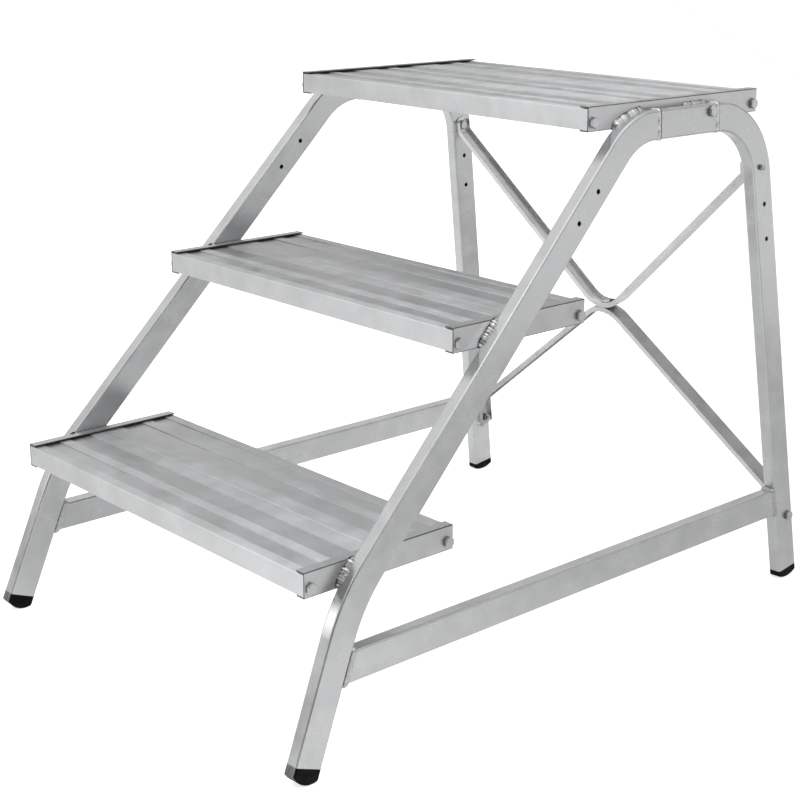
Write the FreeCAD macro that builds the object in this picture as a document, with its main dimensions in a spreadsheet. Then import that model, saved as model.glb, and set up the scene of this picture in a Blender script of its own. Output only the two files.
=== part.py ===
import FreeCAD, Part
import math
import os
import re
import Sketcher

# Aluminium platform step: two welded side frames of bent rectangular tube lean towards each other
# and carry two steps and a platform of extruded planks. A crossed brace ties the rear legs.
# X runs across the steps, Y to the rear, Z up; the origin is on the floor under the middle.

# Driving dimensions, in millimetres and degrees.
SIZES = {
    # Steps and platform
    "first_rise": 253,
    "step_rise": 250,
    "step_run": 244,
    "platform_width": 594,
    "splay_angle": 2.4,
    # Extruded plank
    "plank_depth": 118,
    "plank_wall": 2,
    "plank_play": 1.3,
    "plank_round": 0.6,
    "groove_margin": 16,
    "narrow_groove": 24.5,
    "middle_rib": 16.5,
    "wide_groove": 34,
    "groove_depth": 1.2,
    "plank_lip": 9,
    "port_inset": 9,
    "port_drop": 21,
    "port_wall": 2.5,
    # Channel at each end of a step
    "channel_height": 33,
    "channel_flange": 15,
    "channel_wall": 2,
    "channel_round": 1.5,
    # Rectangular tube of the side frames
    "tube_width": 40,
    "tube_depth": 20,
    "tube_wall": 2,
    "tube_corner": 3,
    # Course of the tubes
    "rail_drop": 11,
    "rail_start": 118,
    "rail_bolt_margin": 14,
    "bend_straight": 5,
    "bend_radius": 100,
    "stile_slope": 45.7,
    "lower_bend_drop": 484,
    "lower_bend_radius": 230,
    "front_lean": 22,
    "rear_lean": 8,
    "strut_height": 127,
    # Plastic feet
    "front_foot_length": 20,
    "front_foot_radius": 28,
    "rear_foot_length": 13,
    "rear_foot_radius": 45,
    "foot_plug": 25,
    "foot_fit": 0.2,
    # Holes for a handrail
    "handrail_hole": 7,
    "handrail_spacing": 52,
    "stile_hole_drop": 76,
    "leg_hole_drop": 133,
    # Hexagon bolts and nuts
    "bolt_diameter": 8,
    "bolt_fit": 0.4,
    "head_width": 13,
    "head_height": 5.3,
    "nut_height": 6.5,
    "tread_bolt_length": 25,
    "brace_bolt_spare": 4,
    "rail_bolt_hole": 10,
    # Crossed brace
    "brace_width": 24,
    "brace_lip": 8,
    "brace_wall": 1.5,
    "brace_height": 376,
    "brace_radius": 55,
    "brace_bend": 10,
    "brace_seat": 0.2,
    "head_gap": 0.4,
    "upper_bolt_height": 643,
    "lower_bolt_height": 100,
    "upper_bolt_offset": -2,
    "lower_bolt_offset": 8,
    "upper_tab": 24,
    "lower_tab": 54,
    "tab_end": 13,
    "tab_round": 10,
    # Weld beads
    "weld_leg": 6.5,
    "rail_weld": 4.5,
    "weld_ring": 1.2,
    "weld_ring_width": 6,
    "strut_weld": 5,
    "rail_weld_length": 48,
}

# Name of each step, how many rises it lies below the platform, and the rows of its planks.
STEPS = (
    ("lower_step", 2, ("front", "rear")),
    ("middle_step", 1, ("front", "rear")),
    ("platform", 0, ("front", "middle", "rear")),
)

# Values that follow from the driving dimensions. Drops are measured down the side frame from the
# middle line of the top rail, reaches along Y from the end of the top rail.
DERIVED = {
    "platform_height": "first_rise + 2 * step_rise",
    "rail_top": "platform_height - rail_drop",
    "rail_height": "rail_top - tube_width / 2",
    "rail_length": "2 * plank_depth - port_inset - rail_start + rail_bolt_margin",
    "frame_offset": "platform_width / 2 + tube_depth / 2 / cos(splay_angle * 1deg)"
                    " + tube_width / 2 * tan(splay_angle * 1deg)",
    "plank_height": "channel_height - 2 * channel_wall - plank_play",
    "port_height": "channel_height - channel_wall - port_drop",
    "port_radius": "(bolt_diameter + bolt_fit) / 2",
    "cell_width": "(plank_depth - 4 * plank_wall) / 3",
    "cell_top": "plank_height - groove_depth - plank_wall",
    "lower_turn": "90 - stile_slope - front_lean",
    "stile_corner": "bend_straight + bend_radius * tan(stile_slope / 2 * 1deg)",
    "lower_corner_drop": "lower_bend_drop"
                         " + lower_bend_radius * tan(lower_turn / 2 * 1deg) * sin(stile_slope * 1deg)",
    "lower_corner_reach": "stile_corner + lower_corner_drop / tan(stile_slope * 1deg)",
    "leg_corner": "bend_straight + bend_radius * tan((90 - rear_lean) / 2 * 1deg)",
    "floor_drop": "(rail_height - tube_depth / 2 * sin(splay_angle * 1deg)) / cos(splay_angle * 1deg)",
    "front_end_drop": "floor_drop - front_foot_radius"
                      " - (front_foot_length - front_foot_radius) * cos(front_lean * 1deg)",
    "rear_end_drop": "floor_drop - rear_foot_radius"
                     " - (rear_foot_length - rear_foot_radius) * cos(rear_lean * 1deg)",
    "front_end_reach": "lower_corner_reach + (front_end_drop - lower_corner_drop) * tan(front_lean * 1deg)",
    "rear_end_reach": "leg_corner + rear_end_drop * tan(rear_lean * 1deg)",
    "front_foot_side": "front_foot_length - front_foot_radius"
                       " + sqrt(front_foot_radius ^ 2 - (tube_width / 2) ^ 2)",
    "rear_foot_side": "rear_foot_length - rear_foot_radius"
                      " + sqrt(rear_foot_radius ^ 2 - (tube_width / 2) ^ 2)",
    "front_overhang": "front_end_reach + front_foot_side * sin(front_lean * 1deg)"
                      " + tube_width / 2 * cos(front_lean * 1deg)",
    "rear_overhang": "rear_end_reach + rear_foot_side * sin(rear_lean * 1deg)"
                     " + tube_width / 2 * cos(rear_lean * 1deg)",
    "front_joint": "(front_overhang - rear_overhang - rail_length) / 2",
    "rear_joint": "front_joint + rail_length",
    "strut_drop": "(rail_height - strut_height) / cos(splay_angle * 1deg)",
    "strut_front": "lower_corner_reach + (strut_drop - lower_corner_drop) * tan(front_lean * 1deg)"
                   " - tube_width / 2 / cos(front_lean * 1deg)",
    "strut_rear": "leg_corner + strut_drop * tan(rear_lean * 1deg)"
                  " - tube_width / 2 / cos(rear_lean * 1deg)",
    "strut_length": "strut_front + rail_length + strut_rear",
    "front_cope": "tube_width / 2 * tan(front_lean * 1deg)",
    "rear_cope": "tube_width / 2 * tan(rear_lean * 1deg)",
    "upper_bolt_drop": "(rail_height - upper_bolt_height) / cos(splay_angle * 1deg)",
    "lower_bolt_drop": "(rail_height - lower_bolt_height) / cos(splay_angle * 1deg)",
    "upper_bolt_reach": "leg_corner + upper_bolt_drop * tan(rear_lean * 1deg) + upper_bolt_offset",
    "lower_bolt_reach": "leg_corner + lower_bolt_drop * tan(rear_lean * 1deg) + lower_bolt_offset",
    "brace_tilt": "atan((lower_bolt_reach - upper_bolt_reach) / (upper_bolt_height - lower_bolt_height)) / 1deg",
    "brace_reach": "upper_bolt_reach + (upper_bolt_height - brace_height) * tan(brace_tilt * 1deg)",
    "tab_shift": "(tube_depth / 2 + brace_seat + brace_wall / 2) * sin(splay_angle * 1deg)",
    "upper_bolt_rise": "(upper_bolt_height - tab_shift - brace_height) / cos(brace_tilt * 1deg)",
    "lower_bolt_rise": "(brace_height - lower_bolt_height + tab_shift) / cos(brace_tilt * 1deg)",
    "trough_radius": "brace_radius - brace_wall",
    "centre_seat": "brace_wall + trough_radius - sqrt(trough_radius ^ 2 - (head_width / 2 / cos(30deg)) ^ 2)",
    "tab_tilt": "atan(tan(splay_angle * 1deg) * cos(brace_tilt * 1deg)) / 1deg",
    "leg_face": "platform_width / 2 + (rail_top - brace_height) * tan(splay_angle * 1deg) - brace_seat",
    "upper_arm_rise": "upper_bolt_rise + tab_end - upper_tab * cos(tab_tilt * 1deg)",
    "lower_arm_rise": "lower_bolt_rise + tab_end - lower_tab * cos(tab_tilt * 1deg)",
    "upper_arm_reach": "leg_face - upper_arm_rise * tan(tab_tilt * 1deg)",
    "lower_arm_reach": "leg_face + lower_arm_rise * tan(tab_tilt * 1deg)",
    "rail_bolt_low": "platform_height - port_drop - head_width / 2 / cos(30deg)",
    "rail_bolt_seat": "platform_width / 2 + (rail_top - rail_bolt_low) * tan(splay_angle * 1deg)"
                      " + tube_depth / cos(splay_angle * 1deg)",
    "rail_bolt_length": "rail_bolt_seat - platform_half + tread_bolt_length",
    "bead_reach": "2 * weld_leg + channel_height * tan(splay_angle * 1deg)",
}
for name, below, rows in STEPS:
    drop = "%d * step_rise - rail_drop" % below if below else "0"
    DERIVED[name + "_half"] = "platform_width / 2 + (%s) * tan(splay_angle * 1deg)" % drop
    DERIVED[name + "_span"] = "2 * (%s_half - channel_wall)" % name
    DERIVED[name + "_front"] = "front_joint - rail_start - %d * step_run" % below
    DERIVED[name + "_base"] = "platform_height - %d * step_rise - channel_height" % below
for end in ("upper", "lower"):
    height = "(%s_arm_rise - brace_radius)" % end
    length = "sqrt(%s_arm_reach ^ 2 + %s ^ 2)" % (end, height)
    DERIVED[end + "_slope"] = "(atan(%s / %s_arm_reach) + asin(brace_radius / %s)) / 1deg" % (height, end, length)

# Below this, a length counts as nothing.
TOLERANCE = 1e-6

doc = FreeCAD.newDocument("platform_step")
sheet = doc.addObject("Spreadsheet::Sheet", "Sizes")


def fill_sheet():
    """Writes the driving dimensions as plain numbers and the derived values as formulas."""
    cells = [(name, str(number)) for name, number in SIZES.items()]
    cells += [(name, "=" + text) for name, text in DERIVED.items()]
    for row, (name, text) in enumerate(cells, start=1):
        sheet.set("A%d" % row, name)
        sheet.setAlias("B%d" % row, name)
        sheet.set("B%d" % row, text)
    doc.recompute()


def size(name):
    """A value of the sheet as a plain number."""
    number = sheet.get(name)
    return float(getattr(number, "Value", number))


def new_body(label):
    body = doc.addObject("PartDesign::Body", label)
    body.Label = label
    return body


def new_sketch(body, role):
    """A sketch on one of the body's own origin planes."""
    sketch = body.newObject("Sketcher::SketchObject", "Sketch")
    plane = next(feature for feature in body.Origin.OriginFeatures if feature.Role == role)
    sketch.AttachmentSupport = (plane, "")
    sketch.MapMode = "FlatFace"
    return sketch


def formula(text):
    """An expression over the sheet: every word that names a cell gets the sheet's prefix."""
    def cell(match):
        word = match.group()
        return "Sizes." + word if word in SIZES or word in DERIVED else word
    return re.sub("[a-z_]+", cell, text)


def evaluate(owner, text):
    number = owner.evalExpression(formula(text))
    return float(getattr(number, "Value", number))


def tie(sketch, text, kind, *references):
    """Adds a dimension to a sketch and ties it to the sheet."""
    number = evaluate(sketch, text)
    if kind == "Angle":
        number = math.radians(number)
        text = "(%s) * 1deg" % text
    index = sketch.addConstraint(Sketcher.Constraint(kind, *references, number))
    sketch.setExpression("Constraints[%d]" % index, formula(text))


def tie_point(sketch, geometry, position, across, up):
    """Ties one point of a sketch to its two distances from the origin."""
    for kind, axis, text in (("DistanceX", -2, across), ("DistanceY", -1, up)):
        if text == "0":
            sketch.addConstraint(Sketcher.Constraint("PointOnObject", geometry, position, axis))
        else:
            tie(sketch, text, kind, -1, 1, geometry, position)


def point(sketch, across, up):
    return FreeCAD.Vector(evaluate(sketch, across), evaluate(sketch, up), 0)


def outline(sketch, corners):
    """A closed outline of straight lines through corners that are tied to the sheet."""
    points = [point(sketch, *corner) for corner in corners]
    first = sketch.GeometryCount
    count = len(corners)
    for index in range(count):
        sketch.addGeometry(Part.LineSegment(points[index], points[(index + 1) % count]), False)
    for index, corner in enumerate(corners):
        following = first + (index + 1) % count
        sketch.addConstraint(Sketcher.Constraint("Coincident", first + index, 2, following, 1))
        tie_point(sketch, first + index, 1, *corner)


def rectangle(sketch, left, bottom, right, top):
    outline(sketch, ((left, bottom), (right, bottom), (right, top), (left, top)))


def centred_rectangle(sketch, width, height):
    rectangle(sketch, "-(%s) / 2" % width, "-(%s) / 2" % height, "(%s) / 2" % width, "(%s) / 2" % height)


def circle(sketch, across, up, radius):
    centre = point(sketch, across, up)
    index = sketch.addGeometry(Part.Circle(centre, FreeCAD.Vector(0, 0, 1), evaluate(sketch, radius)), False)
    tie(sketch, radius, "Radius", index)
    tie_point(sketch, index, 3, across, up)


def rounded_rectangle(sketch, width, height, radius):
    """A rectangle about the origin whose four corners are quarter circles."""
    half_width = evaluate(sketch, width) / 2
    half_height = evaluate(sketch, height) / 2
    corner = evaluate(sketch, radius)
    first = sketch.GeometryCount
    for index in range(4):
        turn = math.radians(90 * index)
        along = (half_width, half_height)[index % 2] - corner
        out = (half_height, half_width)[index % 2]
        forward = FreeCAD.Vector(math.cos(turn), math.sin(turn), 0)
        outward = FreeCAD.Vector(math.sin(turn), -math.cos(turn), 0)
        start = outward * out - forward * along
        end = outward * out + forward * along
        centre = end - outward * corner
        sketch.addGeometry(Part.LineSegment(start, end), False)
        arc = Part.Circle(centre, FreeCAD.Vector(0, 0, 1), corner)
        sketch.addGeometry(Part.ArcOfCircle(arc, turn - math.pi / 2, turn), False)
    for index in range(8):
        following = first + (index + 1) % 8
        sketch.addConstraint(Sketcher.Constraint("Tangent", first + index, 2, following, 1))
    for index in (0, 4):
        sketch.addConstraint(Sketcher.Constraint("Horizontal", first + index))
        sketch.addConstraint(Sketcher.Constraint("Vertical", first + index + 2))
    for index in (3, 5, 7):
        sketch.addConstraint(Sketcher.Constraint("Equal", first + 1, first + index))
    sketch.addConstraint(Sketcher.Constraint("Symmetric", first + 1, 3, first + 5, 3, -1, 1))
    tie(sketch, radius, "Radius", first + 1)
    tie(sketch, height, "DistanceY", first, 1, first + 4, 1)
    tie(sketch, width, "DistanceX", first + 6, 1, first + 2, 1)


class Course:
    """The course of a bent piece in a sketch: straight runs and tangent bends, from the origin."""

    def __init__(self, sketch, heading):
        self.sketch = sketch
        self.heading = heading
        self.place = FreeCAD.Vector(0, 0, 0)
        self.last = None

    def join(self, geometry, start, end):
        if self.last is None:
            self.sketch.addConstraint(Sketcher.Constraint("Coincident", geometry, start, -1, 1))
        else:
            self.sketch.addConstraint(Sketcher.Constraint("Tangent", *self.last, geometry, start))
        self.last = (geometry, end)

    def run(self, length):
        turn = math.radians(self.heading)
        end = self.place + FreeCAD.Vector(math.cos(turn), math.sin(turn), 0) * length
        index = self.sketch.addGeometry(Part.LineSegment(self.place, end), False)
        self.join(index, 1, 2)
        self.place = end
        return index

    def bend(self, radius, angle):
        """Turns left by a positive angle and right by a negative one."""
        length = evaluate(self.sketch, radius)
        side = math.copysign(1, angle)
        turn = math.radians(self.heading + 90 * side)
        centre = self.place + FreeCAD.Vector(math.cos(turn), math.sin(turn), 0) * length
        first = turn + math.pi
        last = first + math.radians(angle)
        arc = Part.Circle(centre, FreeCAD.Vector(0, 0, 1), length)
        index = self.sketch.addGeometry(Part.ArcOfCircle(arc, min(first, last), max(first, last)), False)
        self.join(index, *((1, 2) if angle > 0 else (2, 1)))
        tie(self.sketch, radius, "Radius", index)
        self.heading += angle
        self.place = centre + FreeCAD.Vector(math.cos(last), math.sin(last), 0) * length
        return index


def pad(body, sketch, length, side="One side", reverse=False):
    feature = body.newObject("PartDesign::Pad", "Pad")
    feature.Profile = sketch
    feature.SideType = side
    feature.Reversed = reverse
    feature.setExpression("Length", formula(length))
    doc.recompute()
    return feature


def cut_through(body, sketch):
    """Cuts a sketch through the whole body, to both sides of its plane."""
    before = body.Shape.Volume
    feature = body.newObject("PartDesign::Pocket", "Pocket")
    feature.Profile = sketch
    feature.SideType = "Symmetric"
    feature.Type = "ThroughAll"
    doc.recompute()
    if not feature.Shape.Volume < before:
        raise RuntimeError("a cut in %s removes nothing" % body.Label)
    return feature


def sweep(body, profile, course):
    feature = body.newObject("PartDesign::AdditivePipe", "Pipe")
    feature.Profile = profile
    feature.Spine = course
    doc.recompute()
    return feature


def splay_turn(side):
    """Turns a piece of a side frame so that its top leans to the middle; side is 1 on the right."""
    return FreeCAD.Rotation(FreeCAD.Vector(0, 1, 0), -side * size("splay_angle"))


def frame_place(side, reach, drop, lean=0.0):
    """Place in a side frame: reach along Y from the front joint, drop down the frame from the rail."""
    turn = splay_turn(side)
    base = FreeCAD.Vector(side * size("frame_offset"), size("front_joint"), size("rail_height"))
    base += turn.multVec(FreeCAD.Vector(0, reach, -drop))
    return FreeCAD.Placement(base, turn.multiply(FreeCAD.Rotation(FreeCAD.Vector(1, 0, 0), lean)))


def tube_profile(body):
    """Section of the rectangular tube: rounded outside, square bore."""
    sketch = new_sketch(body, "XZ_Plane")
    rounded_rectangle(sketch, "tube_depth", "tube_width", "tube_corner")
    centred_rectangle(sketch, "tube_depth - 2 * tube_wall", "tube_width - 2 * tube_wall")
    return sketch


def stile_course(body):
    """Front stile's middle line: out of the top rail, down the slope, round into the front leg."""
    sketch = new_sketch(body, "YZ_Plane")
    course = Course(sketch, 180)
    short = course.run(size("bend_straight"))
    course.bend("bend_radius", size("stile_slope"))
    slope_length = (size("lower_bend_drop") + course.place.y) / math.sin(math.radians(size("stile_slope")))
    slope = course.run(slope_length)
    course.bend("lower_bend_radius", size("lower_turn"))
    leg_length = (size("front_end_drop") + course.place.y) / math.cos(math.radians(size("front_lean")))
    leg = course.run(leg_length)
    sketch.addConstraint(Sketcher.Constraint("Horizontal", short))
    tie(sketch, "bend_straight", "DistanceX", short, 2, short, 1)
    tie(sketch, "stile_slope - 180", "Angle", slope)
    tie(sketch, "lower_bend_drop", "DistanceY", slope, 2, -1, 1)
    tie(sketch, "-90 - front_lean", "Angle", leg)
    tie(sketch, "front_end_drop", "DistanceY", leg, 2, -1, 1)
    return sketch


def stile_hole(drop):
    """A point of the stile's sloping middle line, by its drop."""
    return "-stile_corner - (%s) / tan(stile_slope * 1deg)" % drop, "-(%s)" % drop


def front_stile(label, side):
    body = new_body(label)
    sweep(body, tube_profile(body), stile_course(body))
    holes = new_sketch(body, "YZ_Plane")
    lower = "stile_hole_drop + handrail_spacing * sin(stile_slope * 1deg)"
    for drop in ("stile_hole_drop", lower):
        circle(holes, *stile_hole(drop), "handrail_hole / 2")
    cut_through(body, holes)
    body.Placement = frame_place(side, 0, 0)
    return body


def leg_point(drop):
    """A point of the rear leg's middle line, by its drop."""
    return "leg_corner + (%s) * tan(rear_lean * 1deg)" % drop, "-(%s)" % drop


def rear_leg(label, side):
    """Rear leg: out of the top rail and round the rear bend down to the floor."""
    body = new_body(label)
    sketch = new_sketch(body, "YZ_Plane")
    course = Course(sketch, 0)
    short = course.run(size("bend_straight"))
    course.bend("bend_radius", size("rear_lean") - 90)
    leg_length = (size("rear_end_drop") + course.place.y) / math.cos(math.radians(size("rear_lean")))
    leg = course.run(leg_length)
    sketch.addConstraint(Sketcher.Constraint("Horizontal", short))
    tie(sketch, "bend_straight", "DistanceX", short, 1, short, 2)
    tie(sketch, "rear_lean - 90", "Angle", leg)
    tie(sketch, "rear_end_drop", "DistanceY", leg, 2, -1, 1)
    sweep(body, tube_profile(body), sketch)
    holes = new_sketch(body, "YZ_Plane")
    for drop in ("leg_hole_drop", "leg_hole_drop + handrail_spacing * cos(rear_lean * 1deg)"):
        circle(holes, *leg_point(drop), "handrail_hole / 2")
    circle(holes, "upper_bolt_reach", "-upper_bolt_drop", "port_radius")
    circle(holes, "lower_bolt_reach", "-lower_bolt_drop", "port_radius")
    cut_through(body, holes)
    body.Placement = frame_place(side, size("rail_length"), 0)
    return body


def top_rail(label, side):
    """Straight tube between the two bends, bored for the middle plank's bolt."""
    body = new_body(label)
    pad(body, tube_profile(body), "rail_length", reverse=True)
    hole = new_sketch(body, "YZ_Plane")
    across = rail_bolt_place() + " - rail_start"
    circle(hole, across, "platform_height - port_drop - rail_height", "rail_bolt_hole / 2")
    cut_through(body, hole)
    body.Placement = frame_place(side, 0, 0)
    return body


def lower_strut(label, side):
    """Level tube near the floor, coped at both ends to the faces of the front and rear legs."""
    body = new_body(label)
    end = "strut_length + front_cope + rear_cope"
    pad(body, tube_profile(body), end, reverse=True)
    copes = new_sketch(body, "YZ_Plane")
    half = "tube_width / 2"
    outline(copes, (("0", "-" + half), ("2 * front_cope", half), ("0", half)))
    outline(copes, ((end, "-" + half), (end, half), (end + " - 2 * rear_cope", half)))
    cut_through(body, copes)
    reach = -size("strut_front") - size("front_cope")
    body.Placement = frame_place(side, reach, size("strut_drop"))
    return body


def runs_along(edge, axis):
    """Whether an edge is a straight line along an axis."""
    if not isinstance(edge.Curve, Part.Line):
        return False
    return edge.Curve.Direction.cross(axis).Length < TOLERANCE


def round_edges(body, base, radius, chosen):
    """Rounds the edges of a feature that a test chooses."""
    rounding = body.newObject("PartDesign::Fillet", "Fillet")
    edges = enumerate(base.Shape.Edges, start=1)
    rounding.Base = (base, ["Edge%d" % index for index, edge in edges if chosen(edge)])
    rounding.setExpression("Radius", formula(radius))
    doc.recompute()


def foot(label, end, side, reach, lean):
    """Plastic foot: a cap with a round tread under the tube's end and a plug inside it."""
    body = new_body(label)
    sketch = new_sketch(body, "YZ_Plane")
    half = "tube_width / 2"
    edge = "-%s_foot_side" % end
    corners = (("-" + half, edge), ("-" + half, "0"), (half, "0"), (half, edge))
    points = [point(sketch, *corner) for corner in corners]
    for index in range(3):
        sketch.addGeometry(Part.LineSegment(points[index], points[index + 1]), False)
        tie_point(sketch, index, 1, *corners[index])
    radius = "%s_foot_radius" % end
    centre = point(sketch, "0", "%s - %s_foot_length" % (radius, end))
    tread = Part.Circle(centre, FreeCAD.Vector(0, 0, 1), size(radius))
    start = math.atan2(points[0].y - centre.y, points[0].x)
    sketch.addGeometry(Part.ArcOfCircle(tread, start, -math.pi - start), False)
    for first, second in ((0, 1), (1, 2)):
        sketch.addConstraint(Sketcher.Constraint("Coincident", first, 2, second, 1))
    tie_point(sketch, 2, 2, *corners[3])
    sketch.addConstraint(Sketcher.Constraint("Coincident", 3, 1, 0, 1))
    sketch.addConstraint(Sketcher.Constraint("Coincident", 3, 2, 2, 2))
    tie(sketch, radius, "Radius", 3)
    cap = pad(body, sketch, "tube_depth", side="Symmetric")
    round_edges(body, cap, "tube_corner", lambda edge: runs_along(edge, FreeCAD.Vector(0, 0, 1)))
    plug = new_sketch(body, "XY_Plane")
    centred_rectangle(plug, "tube_depth - 2 * tube_wall - 2 * foot_fit",
                      "tube_width - 2 * tube_wall - 2 * foot_fit")
    pad(body, plug, "foot_plug")
    body.Placement = frame_place(side, reach, size(end + "_end_drop"), lean)
    return body


def end_channel(label, name, planks, side):
    """U-channel across the end of a step: web outside, flanges over and under the planks."""
    body = new_body(label)
    sketch = new_sketch(body, "XZ_Plane")
    web, inner, tip = "0", "channel_wall", "channel_flange"
    if side > 0:
        web, inner, tip = "channel_flange", "channel_flange - channel_wall", "0"
    top = "channel_height - channel_wall"
    outline(sketch, ((web, "0"), (web, "channel_height"), (tip, "channel_height"), (tip, top),
                     (inner, top), (inner, "channel_wall"), (tip, "channel_wall"), (tip, "0")))
    bar = pad(body, sketch, "%d * plank_depth" % planks, reverse=True)
    web_side = size("channel_flange") if side > 0 else 0
    levels = (0, size("channel_height"))

    def is_outer_corner(edge):
        place = edge.CenterOfMass
        on_web = abs(place.x - web_side) < TOLERANCE
        at_flange = any(abs(place.z - level) < TOLERANCE for level in levels)
        return on_web and at_flange and runs_along(edge, FreeCAD.Vector(0, 1, 0))

    round_edges(body, bar, "channel_round", is_outer_corner)
    holes = new_sketch(body, "YZ_Plane")
    for across in bolt_places(planks):
        circle(holes, across, "channel_height - port_drop", "port_radius")
    cut_through(body, holes)
    half = size(name + "_half")
    left = half - size("channel_flange") if side > 0 else -half
    body.Placement = FreeCAD.Placement(step_corner(name, left), FreeCAD.Rotation())
    return body


def bolt_places(planks):
    """Distances of the bolts from a step's front: at the first plank's front, the others' rear."""
    return ["port_inset"] + ["%d * plank_depth - port_inset" % count for count in range(2, planks + 1)]


def rail_bolt_place():
    """Distance from the platform's front of the bolt that goes through the top rail."""
    name, below, rows = STEPS[-1]
    return bolt_places(len(rows))[1]


def step_corner(name, across):
    """Lowest front point of a step at a place across it."""
    return FreeCAD.Vector(across, size(name + "_front"), size(name + "_base"))


def plank(label, name, position, turned):
    """Extruded plank: a narrow and a wide groove on top, three cells open below, a screw port along
    each edge. A turned plank has its narrow groove at the rear."""
    body = new_body(label)
    span = name + "_span"
    block = new_sketch(body, "YZ_Plane")
    rectangle(block, "0", "0", "plank_depth", "plank_height")
    bar = pad(body, block, span, side="Symmetric")
    top = size("plank_height")

    def is_top_edge(edge):
        at_top = abs(edge.CenterOfMass.z - top) < TOLERANCE
        return at_top and runs_along(edge, FreeCAD.Vector(1, 0, 0))

    round_edges(body, bar, "plank_round", is_top_edge)
    hollow = new_sketch(body, "YZ_Plane")
    narrow = ("groove_margin", "groove_margin + narrow_groove")
    wide = (narrow[1] + " + middle_rib", narrow[1] + " + middle_rib + wide_groove")
    for left, right in (narrow, wide):
        if turned:
            left, right = "plank_depth - (%s)" % right, "plank_depth - (%s)" % left
        rectangle(hollow, left, "plank_height - groove_depth", right, "plank_height")
    for cell in range(3):
        left = "plank_wall + %d * (cell_width + plank_wall)" % cell
        right = left + " + cell_width"
        outline(hollow, ((left + " + plank_lip", "0"), (right + " - plank_lip", "0"),
                         (right + " - plank_lip", "plank_wall"), (right, "plank_wall"),
                         (right, "cell_top"), (left, "cell_top"),
                         (left, "plank_wall"), (left + " + plank_lip", "plank_wall")))
    cut_through(body, hollow)
    ports = ("port_inset", "plank_depth - port_inset")
    ribs = new_sketch(body, "YZ_Plane")
    low, high = "port_height - port_wall / 2", "port_height + port_wall / 2"
    rectangle(ribs, "plank_wall / 2", low, ports[0], high)
    rectangle(ribs, ports[1], low, "plank_depth - plank_wall / 2", high)
    pad(body, ribs, span, side="Symmetric")
    bosses = new_sketch(body, "YZ_Plane")
    for across in ports:
        circle(bosses, across, "port_height", "port_radius + port_wall")
    pad(body, bosses, span, side="Symmetric")
    bores = new_sketch(body, "YZ_Plane")
    for across in ports:
        circle(bores, across, "port_height", "port_radius")
    cut_through(body, bores)
    base = step_corner(name, 0)
    base += FreeCAD.Vector(0, position * size("plank_depth"), size("channel_wall"))
    body.Placement = FreeCAD.Placement(base, FreeCAD.Rotation())
    return body


def brace(label, upward):
    """One half of the crossed brace: a U-channel bent round the middle, its ends laid on the legs."""
    body = new_body(label)
    sign = "" if upward else "-"
    direction = 1 if upward else -1
    end = "upper" if upward else "lower"
    half = "brace_width / 2"
    inner = "brace_width / 2 - brace_wall"
    wall, lip = sign + "brace_wall", sign + "brace_lip"
    profile = new_sketch(body, "YZ_Plane")
    outline(profile, (("-(%s)" % half, "0"), (half, "0"), (half, lip), (inner, lip), (inner, wall),
                      ("-(%s)" % inner, wall), ("-(%s)" % inner, lip), ("-(%s)" % half, lip)))
    rise = "%s_bolt_rise + tab_end" % end
    upright = "90 + %stab_tilt" % sign
    face = "leg_face - %s(%s) * tan(tab_tilt * 1deg)" % (sign, rise)
    path = new_sketch(body, "XZ_Plane")
    course = Course(path, 0)
    slope = size(end + "_slope")
    course.bend("brace_radius", direction * slope)
    bend_angle = evaluate(path, upright) - slope
    bend_reach = size("brace_bend") * math.tan(math.radians(bend_angle / 2))
    stand = math.radians(evaluate(path, upright))
    lean = math.radians(slope)
    target = FreeCAD.Vector(evaluate(path, face), direction * evaluate(path, rise), 0)
    gap_x = target.x - course.place.x
    gap_y = direction * (target.y - course.place.y)
    arm = (gap_x * math.sin(stand) - gap_y * math.cos(stand)) / math.sin(stand - lean)
    tab = (gap_y * math.cos(lean) - gap_x * math.sin(lean)) / math.sin(stand - lean)
    arm_line = course.run(arm - bend_reach)
    course.bend("brace_bend", direction * bend_angle)
    tab_line = course.run(tab - bend_reach)
    path.addConstraint(Sketcher.Constraint("PointOnObject", 0, 3, -2))
    tie(path, sign + "%s_slope" % end, "Angle", arm_line)
    tie(path, "%s(%s)" % (sign, upright), "Angle", tab_line)
    tie_point(path, tab_line, 2, face, "%s(%s)" % (sign, rise))
    half_brace = sweep(body, profile, path)
    whole = body.newObject("PartDesign::Mirrored", "Mirrored")
    whole.Originals = [half_brace]
    middle = next(feature for feature in body.Origin.OriginFeatures if feature.Role == "YZ_Plane")
    whole.MirrorPlane = (middle, [""])
    body.Tip = whole
    doc.recompute()
    holes = new_sketch(body, "YZ_Plane")
    circle(holes, "0", "%s%s_bolt_rise" % (sign, end), "port_radius")
    for edge in ("", "-"):
        round_tab(holes, "%s(%s)" % (edge, half), "%s(%s)" % (sign, rise), edge, sign)
    cut_through(body, holes)
    centre = new_sketch(body, "XY_Plane")
    circle(centre, "0", "0", "port_radius")
    cut_through(body, centre)
    base = FreeCAD.Vector(0, size("rear_joint") + size("brace_reach"), size("brace_height"))
    turn = FreeCAD.Rotation(FreeCAD.Vector(1, 0, 0), size("brace_tilt"))
    body.Placement = FreeCAD.Placement(base, turn)
    return body


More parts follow.
